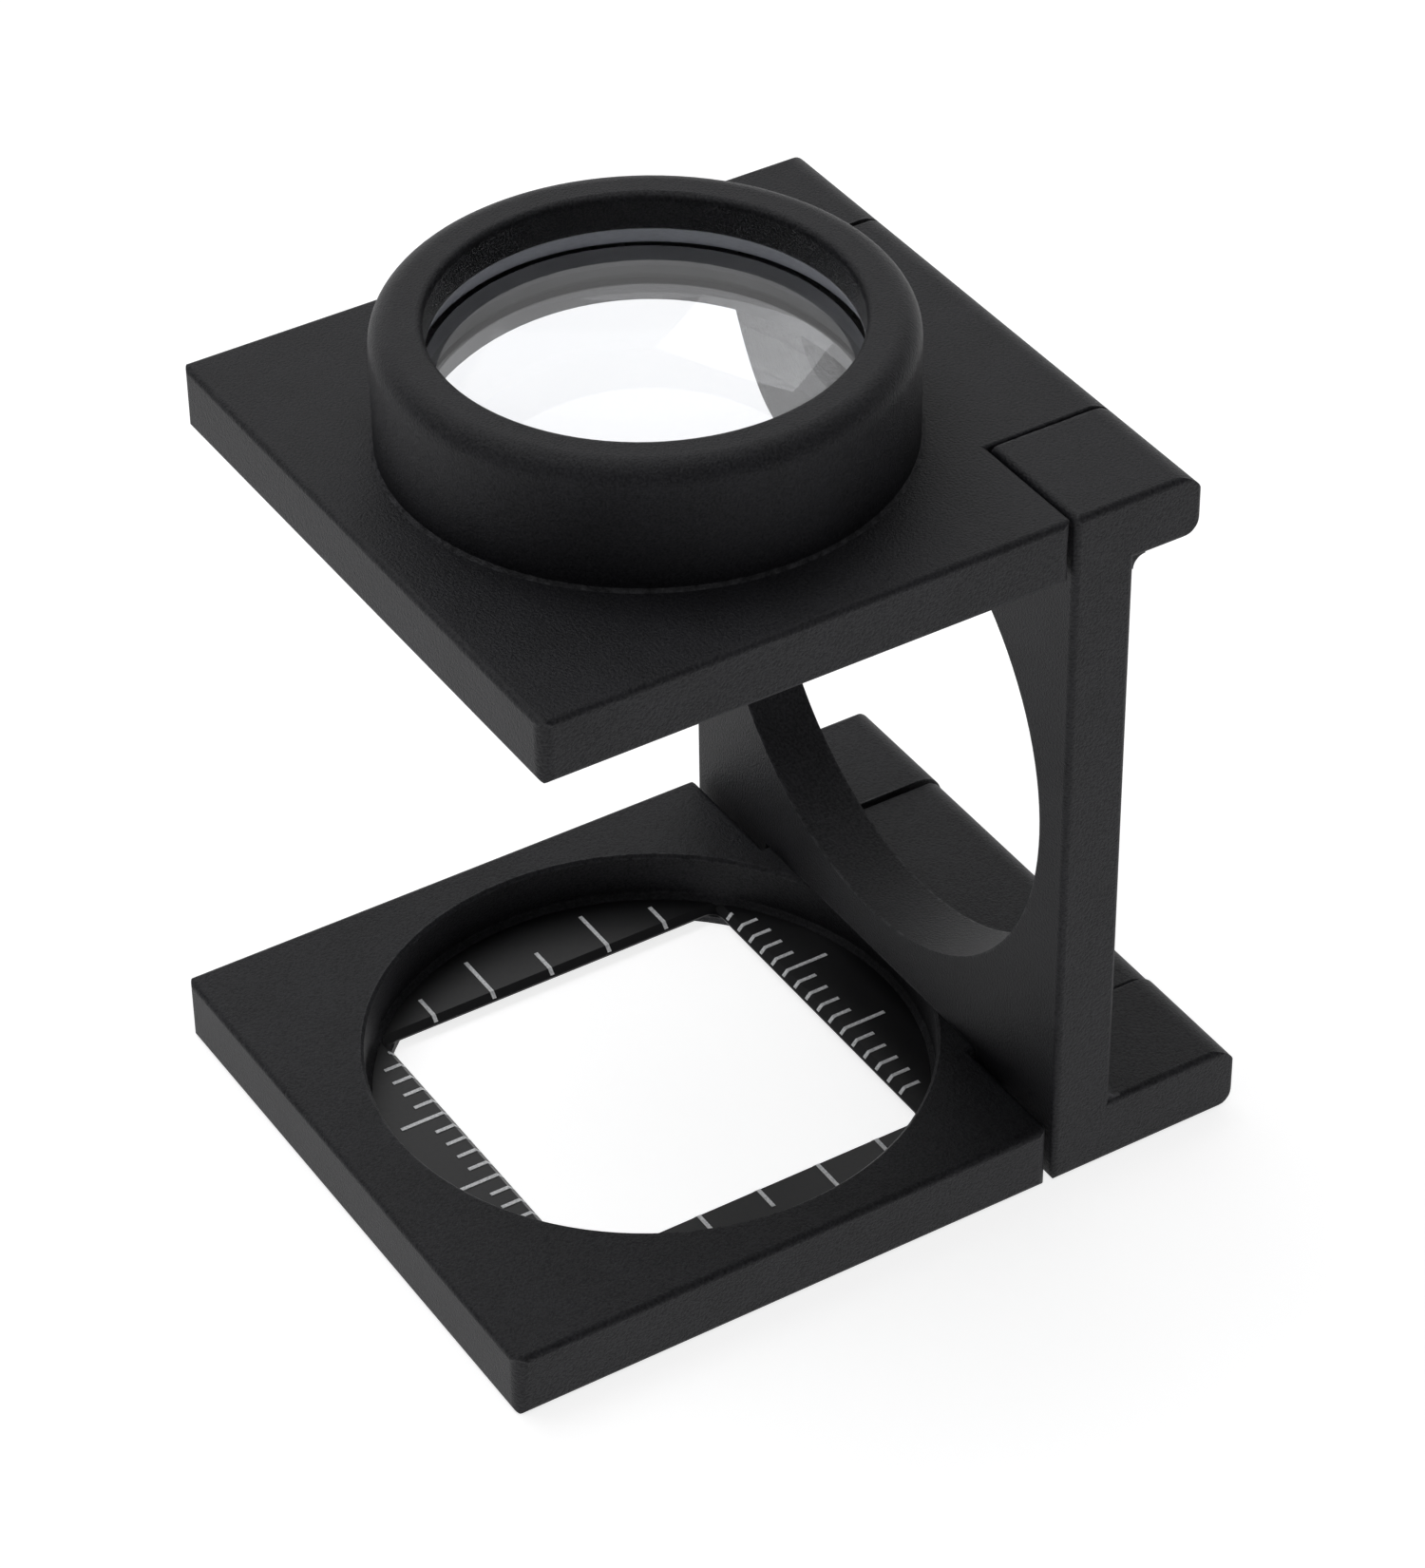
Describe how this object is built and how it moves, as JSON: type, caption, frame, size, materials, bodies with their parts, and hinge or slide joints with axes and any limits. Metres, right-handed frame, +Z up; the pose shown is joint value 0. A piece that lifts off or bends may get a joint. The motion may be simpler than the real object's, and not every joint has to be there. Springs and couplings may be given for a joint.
{
  "type": "folding stand loupe",
  "caption": "Folding stand loupe: a base with a measuring window and scales, an upright with a round hole, and a hinged lens plate with a raised lens barrel.",
  "frame": {"origin": "middle of the footprint, on the surface that the base stands on", "axes": "+Z up; +Y from the open front towards the hinges; +X across the hinges, to the right when seen from the front"},
  "size_m": [0.0306, 0.0382, 0.0427],
  "materials": {
    "plate_paint": "fine matte black paint on cast metal",
    "barrel_paint": "matte black paint on turned metal",
    "scale_black": "smooth satin black on thin sheet metal",
    "scale_white": "printed white enamel",
    "lens_glass": "polished optical glass",
    "spacer_black": "matte black anodised",
    "ring_metal": "turned aluminium, anodised grey",
    "pin_steel": "plain drawn steel"
  },
  "bodies": {
    "stand": {"upright": "plate_paint", "top_hinge_pin": "pin_steel", "bottom_hinge_pin": "pin_steel"},
    "base": {"base_plate": "plate_paint", "scale_plate": "scale_black", "millimetre_marks": "scale_white", "eighth_inch_marks": "scale_white"},
    "lens_head": {"lens_plate": "plate_paint", "lens_barrel": "barrel_paint", "upper_lens": "lens_glass", "lens_spacer": "spacer_black", "lower_lens": "lens_glass", "lens_retaining_ring": "ring_metal"}
  },
  "joints": [
    {"name": "base_hinge", "type": "hinge", "parent": "stand", "child": "base", "pos_m": [0, 0.01738, 0.00165], "axis": [1, 0, 0], "range_deg": [0, 270]},
    {"name": "lens_hinge", "type": "hinge", "parent": "stand", "child": "lens_head", "pos_m": [0, 0.01383, 0.03525], "axis": [-1, 0, 0], "range_deg": [0, 270]}
  ]
}
